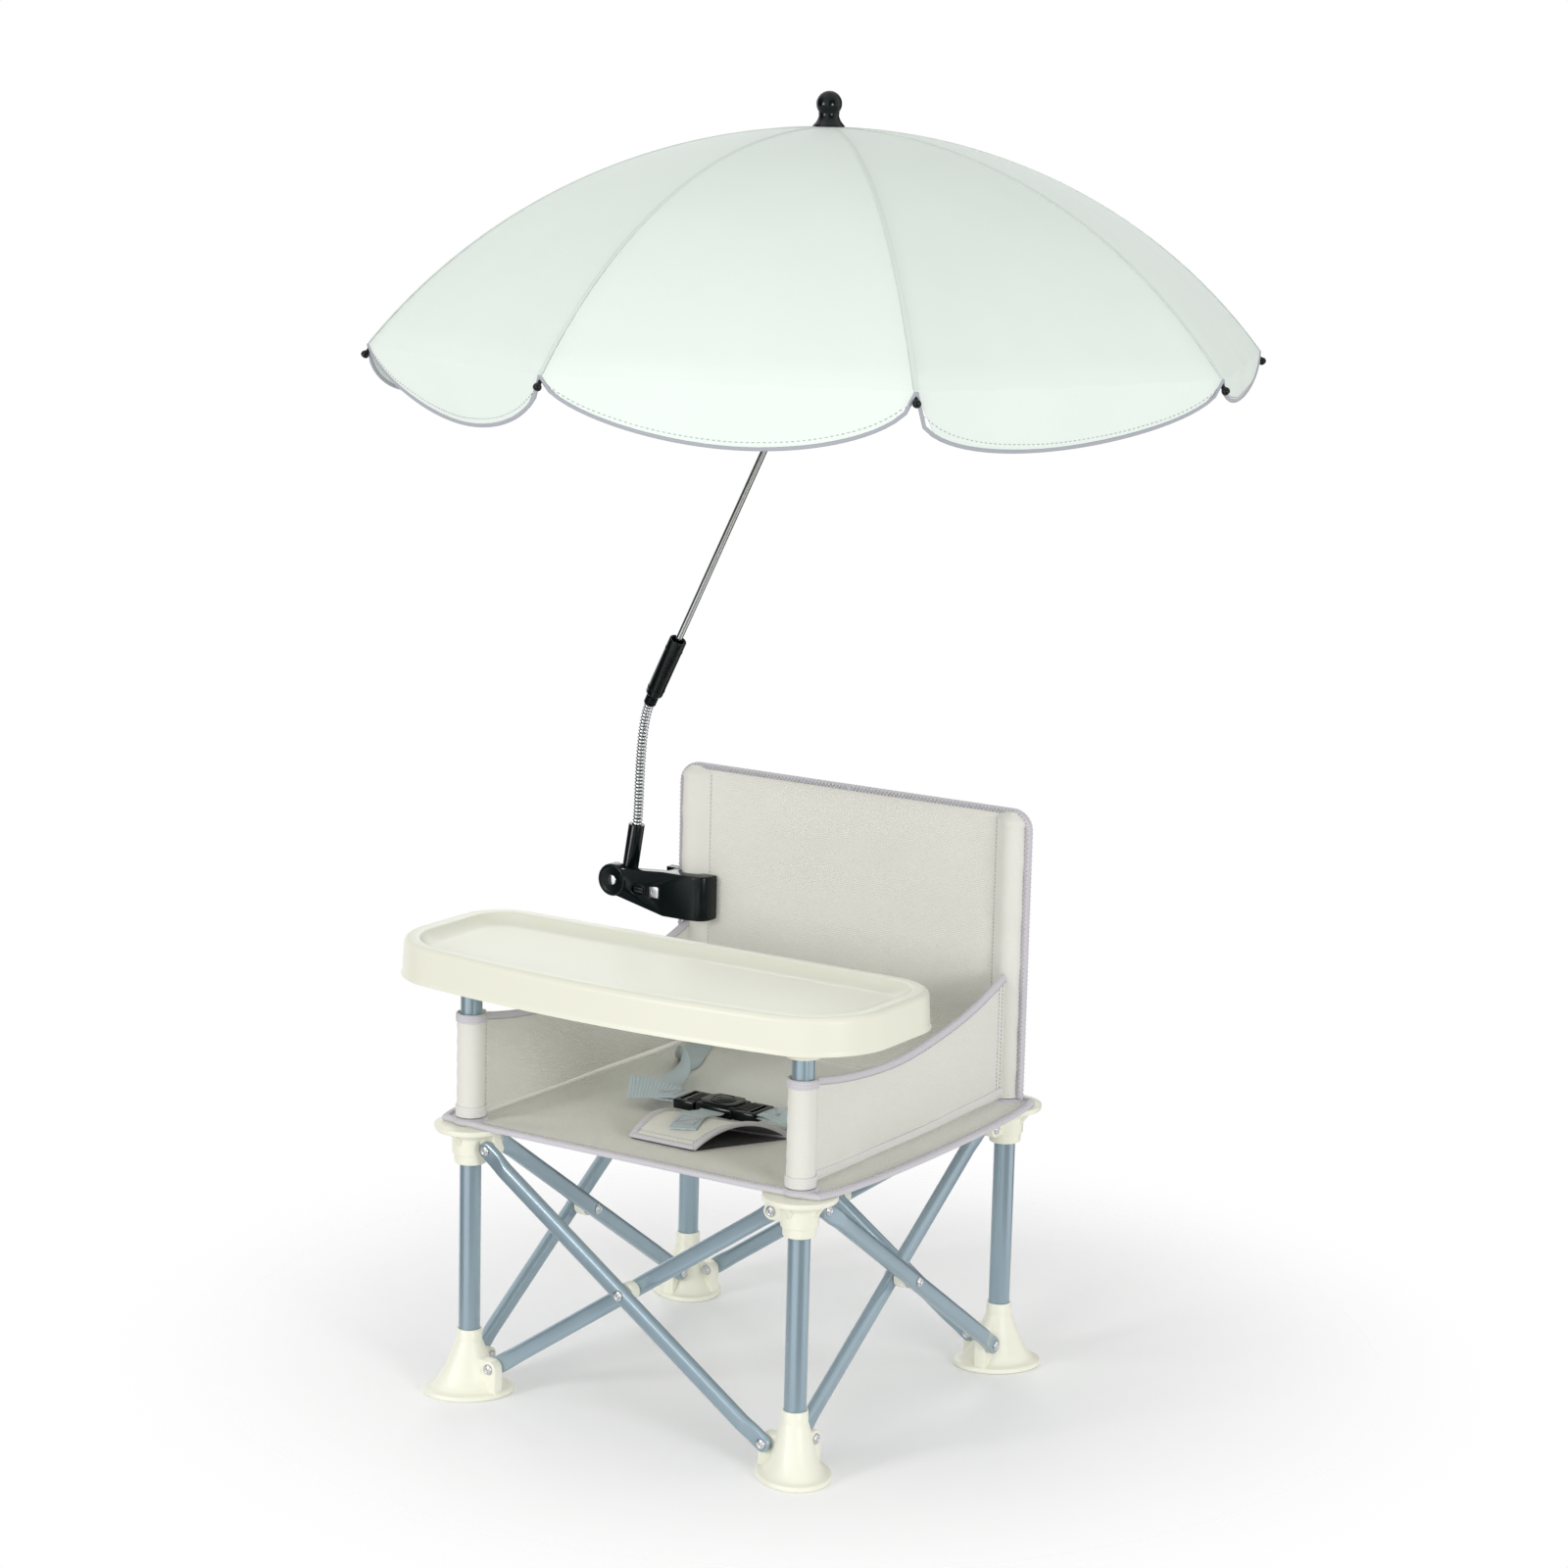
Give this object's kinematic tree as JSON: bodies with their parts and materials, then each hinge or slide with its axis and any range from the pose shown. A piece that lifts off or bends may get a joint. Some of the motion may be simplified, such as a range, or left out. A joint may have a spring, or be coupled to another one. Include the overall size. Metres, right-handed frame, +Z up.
{
  "type": "toddler feeding chair",
  "caption": "Low folding child's chair with scissor frame, sling seat, lift-off tray, lap harness and a clamp-on parasol.",
  "frame": {"origin": "on the floor under the middle of the canopy, which is the middle of the outline seen from above", "axes": "+Z up, -Y the side that the sitter faces, +X the right side seen from the front"},
  "size_m": [0.8026, 0.8026, 1.1295],
  "materials": {
    "painted_tube": "blue-grey powder coat, satin",
    "cream_plastic": "moulded, soft gloss",
    "greige_fabric": "woven cloth, matt",
    "canopy_fabric": "thin coated cloth, satin",
    "webbing": "woven strap",
    "black_plastic": "moulded, satin",
    "bright_steel": "bright plated"
  },
  "bodies": {
    "leg_rear_left": {"upright_rear_left": "painted_tube", "foot_rear_left": "cream_plastic", "clamp_arm": "black_plastic", "clamp_nut": "bright_steel", "tilt_pivot_pin": "bright_steel", "back_panel": "greige_fabric", "arm_panel_left": "greige_fabric"},
    "leg_front_left": {"upright_front_left": "painted_tube", "foot_front_left": "cream_plastic"},
    "leg_front_right": {"upright_front_right": "painted_tube", "foot_front_right": "cream_plastic"},
    "leg_rear_right": {"upright_rear_right": "painted_tube", "foot_rear_right": "cream_plastic", "arm_panel_right": "greige_fabric"},
    "hub_rear_left": {"hub_rear_left": "cream_plastic", "seat_panel": "greige_fabric"},
    "hub_front_left": {"hub_front_left": "cream_plastic"},
    "hub_front_right": {"hub_front_right": "cream_plastic", "waist_strap_left": "webbing", "waist_strap_right": "webbing", "crotch_strap": "webbing", "crotch_guard": "greige_fabric", "buckle_body": "black_plastic"},
    "hub_rear_right": {"hub_rear_right": "cream_plastic"},
    "front_bar_outer": {"front_bar_outer": "painted_tube", "front_crossing_rivet": "bright_steel"},
    "front_bar_inner": {"front_bar_inner": "painted_tube", "front_spacer": "cream_plastic"},
    "right_bar_outer": {"right_bar_outer": "painted_tube", "right_crossing_rivet": "bright_steel"},
    "right_bar_inner": {"right_bar_inner": "painted_tube", "right_spacer": "cream_plastic"},
    "rear_bar_outer": {"rear_bar_outer": "painted_tube", "rear_crossing_rivet": "bright_steel"},
    "rear_bar_inner": {"rear_bar_inner": "painted_tube", "rear_spacer": "cream_plastic"},
    "left_bar_outer": {"left_bar_outer": "painted_tube", "left_crossing_rivet": "bright_steel"},
    "left_bar_inner": {"left_bar_inner": "painted_tube", "left_spacer": "cream_plastic"},
    "tray": {"tray": "cream_plastic"},
    "clamp_jaw": {"clamp_jaw": "black_plastic"},
    "clamp_knob": {"clamp_knob": "black_plastic"},
    "parasol_neck": {"tilt_socket": "black_plastic", "gooseneck": "bright_steel", "coupling_sleeve": "black_plastic"},
    "parasol_bush": {"sleeve_bush": "black_plastic"},
    "parasol_shaft": {"parasol_shaft": "bright_steel"},
    "parasol_canopy": {"upper_rod": "bright_steel", "knuckle_pin": "bright_steel", "runner": "black_plastic", "ribs": "bright_steel", "stretchers": "bright_steel", "canopy": "canopy_fabric", "finial": "black_plastic"},
    "buckle_clip_left": {"buckle_clip_left": "black_plastic"},
    "buckle_clip_right": {"buckle_clip_right": "black_plastic"}
  },
  "joints": [
    {"name": "fold", "type": "hinge", "parent": "leg_rear_left", "child": "left_bar_inner", "pos_m": [-0.165, 0.035, 0.0255], "axis": [-1, 0, 0], "range_deg": [0, 22], "deforming": ["seat_panel", "back_panel", "arm_panel_left", "arm_panel_right", "waist_strap_left", "waist_strap_right", "crotch_strap", "crotch_guard"]},
    {"name": "left_scissor", "type": "hinge", "parent": "left_bar_inner", "child": "left_bar_outer", "pos_m": [-0.165, -0.11, 0.12575], "axis": [1, 0, 0], "range_deg": [0, 44]},
    {"name": "left_foot_front_left", "type": "hinge", "parent": "left_bar_outer", "child": "leg_front_left", "pos_m": [-0.165, -0.255, 0.0255], "axis": [-1, 0, 0], "range_deg": [0, 22]},
    {"name": "left_hub_front_left", "type": "hinge", "parent": "left_bar_inner", "child": "hub_front_left", "pos_m": [-0.165, -0.255, 0.226], "axis": [1, 0, 0], "range_deg": [0, 22]},
    {"name": "left_hub_rear_left", "type": "hinge", "parent": "left_bar_outer", "child": "hub_rear_left", "pos_m": [-0.165, 0.035, 0.226], "axis": [-1, 0, 0], "range_deg": [0, 22]},
    {"name": "rear_swing", "type": "hinge", "parent": "leg_rear_left", "child": "rear_bar_outer", "pos_m": [-0.14, 0.06, 0.0255], "axis": [0, -1, 0], "range_deg": [0, 22]},
    {"name": "rear_scissor", "type": "hinge", "parent": "rear_bar_outer", "child": "rear_bar_inner", "pos_m": [0.005, 0.06, 0.12575], "axis": [0, 1, 0], "range_deg": [0, 44]},
    {"name": "rear_foot_rear_right", "type": "hinge", "parent": "rear_bar_inner", "child": "leg_rear_right", "pos_m": [0.15, 0.06, 0.0255], "axis": [0, -1, 0], "range_deg": [0, 22]},
    {"name": "rear_hub_rear_right", "type": "hinge", "parent": "rear_bar_outer", "child": "hub_rear_right", "pos_m": [0.15, 0.06, 0.226], "axis": [0, 1, 0], "range_deg": [0, 22]},
    {"name": "front_swing", "type": "hinge", "parent": "leg_front_left", "child": "front_bar_inner", "pos_m": [-0.14, -0.28, 0.0255], "axis": [0, -1, 0], "range_deg": [0, 22]},
    {"name": "front_scissor", "type": "hinge", "parent": "front_bar_inner", "child": "front_bar_outer", "pos_m": [0.005, -0.28, 0.12575], "axis": [0, 1, 0], "range_deg": [0, 44]},
    {"name": "front_foot_front_right", "type": "hinge", "parent": "front_bar_outer", "child": "leg_front_right", "pos_m": [0.15, -0.28, 0.0255], "axis": [0, -1, 0], "range_deg": [0, 22]},
    {"name": "front_hub_front_right", "type": "hinge", "parent": "front_bar_inner", "child": "hub_front_right", "pos_m": [0.15, -0.28, 0.226], "axis": [0, 1, 0], "range_deg": [0, 22]},
    {"name": "right_swing", "type": "hinge", "parent": "leg_rear_right", "child": "right_bar_outer", "pos_m": [0.175, 0.035, 0.0255], "axis": [-1, 0, 0], "range_deg": [0, 22]},
    {"name": "right_scissor", "type": "hinge", "parent": "right_bar_outer", "child": "right_bar_inner", "pos_m": [0.175, -0.11, 0.12575], "axis": [1, 0, 0], "range_deg": [0, 44]},
    {"name": "tray_lift", "type": "slide", "parent": "leg_front_left", "child": "tray", "axis": [0, 0, 1], "range_m": [0, 0.045]},
    {"name": "clamp_jaw_slide", "type": "slide", "parent": "leg_rear_left", "child": "clamp_jaw", "axis": [0, 1, 0], "range_m": [0, 0.004]},
    {"name": "clamp_knob_turn", "type": "hinge", "parent": "clamp_jaw", "child": "clamp_knob", "pos_m": [-0.195, 0.036, 0.3875], "axis": [0, 1, 0], "range_deg": [0, 720]},
    {"name": "clamp_tilt", "type": "hinge", "parent": "leg_rear_left", "child": "parasol_neck", "pos_m": [-0.2426, 0.0543, 0.393], "axis": [0, -1, 0], "range_deg": [0, 60]},
    {"name": "parasol_turn", "type": "hinge", "parent": "parasol_neck", "child": "parasol_bush", "pos_m": [-0.1782, 0.045, 0.6267], "axis": [0.4965, -0.1254, 0.8589], "continuous": true},
    {"name": "shaft_pull", "type": "slide", "parent": "parasol_bush", "child": "parasol_shaft", "axis": [0.4965, -0.1254, 0.8589], "range_m": [0, 0.04]},
    {"name": "canopy_tilt", "type": "hinge", "parent": "parasol_shaft", "child": "parasol_canopy", "pos_m": [0, 0, 0.935], "axis": [0.2448, 0.9696, 0], "range_deg": [0, 31]},
    {"name": "buckle_release_left", "type": "slide", "parent": "hub_front_right", "child": "buckle_clip_left", "axis": [-1, 0, 0], "range_m": [0, 0.02], "deforming": ["waist_strap_left"]},
    {"name": "buckle_release_right", "type": "slide", "parent": "hub_front_right", "child": "buckle_clip_right", "axis": [1, 0, 0], "range_m": [0, 0.02], "deforming": ["waist_strap_right"]}
  ],
  "couplings": [
    {"joint": "left_scissor", "follows": "fold", "ratio": 2},
    {"joint": "left_foot_front_left", "follows": "fold", "ratio": 1},
    {"joint": "left_hub_front_left", "follows": "fold", "ratio": 1},
    {"joint": "left_hub_rear_left", "follows": "fold", "ratio": 1},
    {"joint": "rear_swing", "follows": "fold", "ratio": 1},
    {"joint": "rear_scissor", "follows": "fold", "ratio": 2},
    {"joint": "rear_foot_rear_right", "follows": "fold", "ratio": 1},
    {"joint": "rear_hub_rear_right", "follows": "fold", "ratio": 1},
    {"joint": "front_swing", "follows": "fold", "ratio": 1},
    {"joint": "front_scissor", "follows": "fold", "ratio": 2},
    {"joint": "front_foot_front_right", "follows": "fold", "ratio": 1},
    {"joint": "front_hub_front_right", "follows": "fold", "ratio": 1},
    {"joint": "right_swing", "follows": "fold", "ratio": 1},
    {"joint": "right_scissor", "follows": "fold", "ratio": 2},
    {"joint": "clamp_knob_turn", "follows": "clamp_jaw_slide", "rad_per_m": 3141.6}
  ]
}
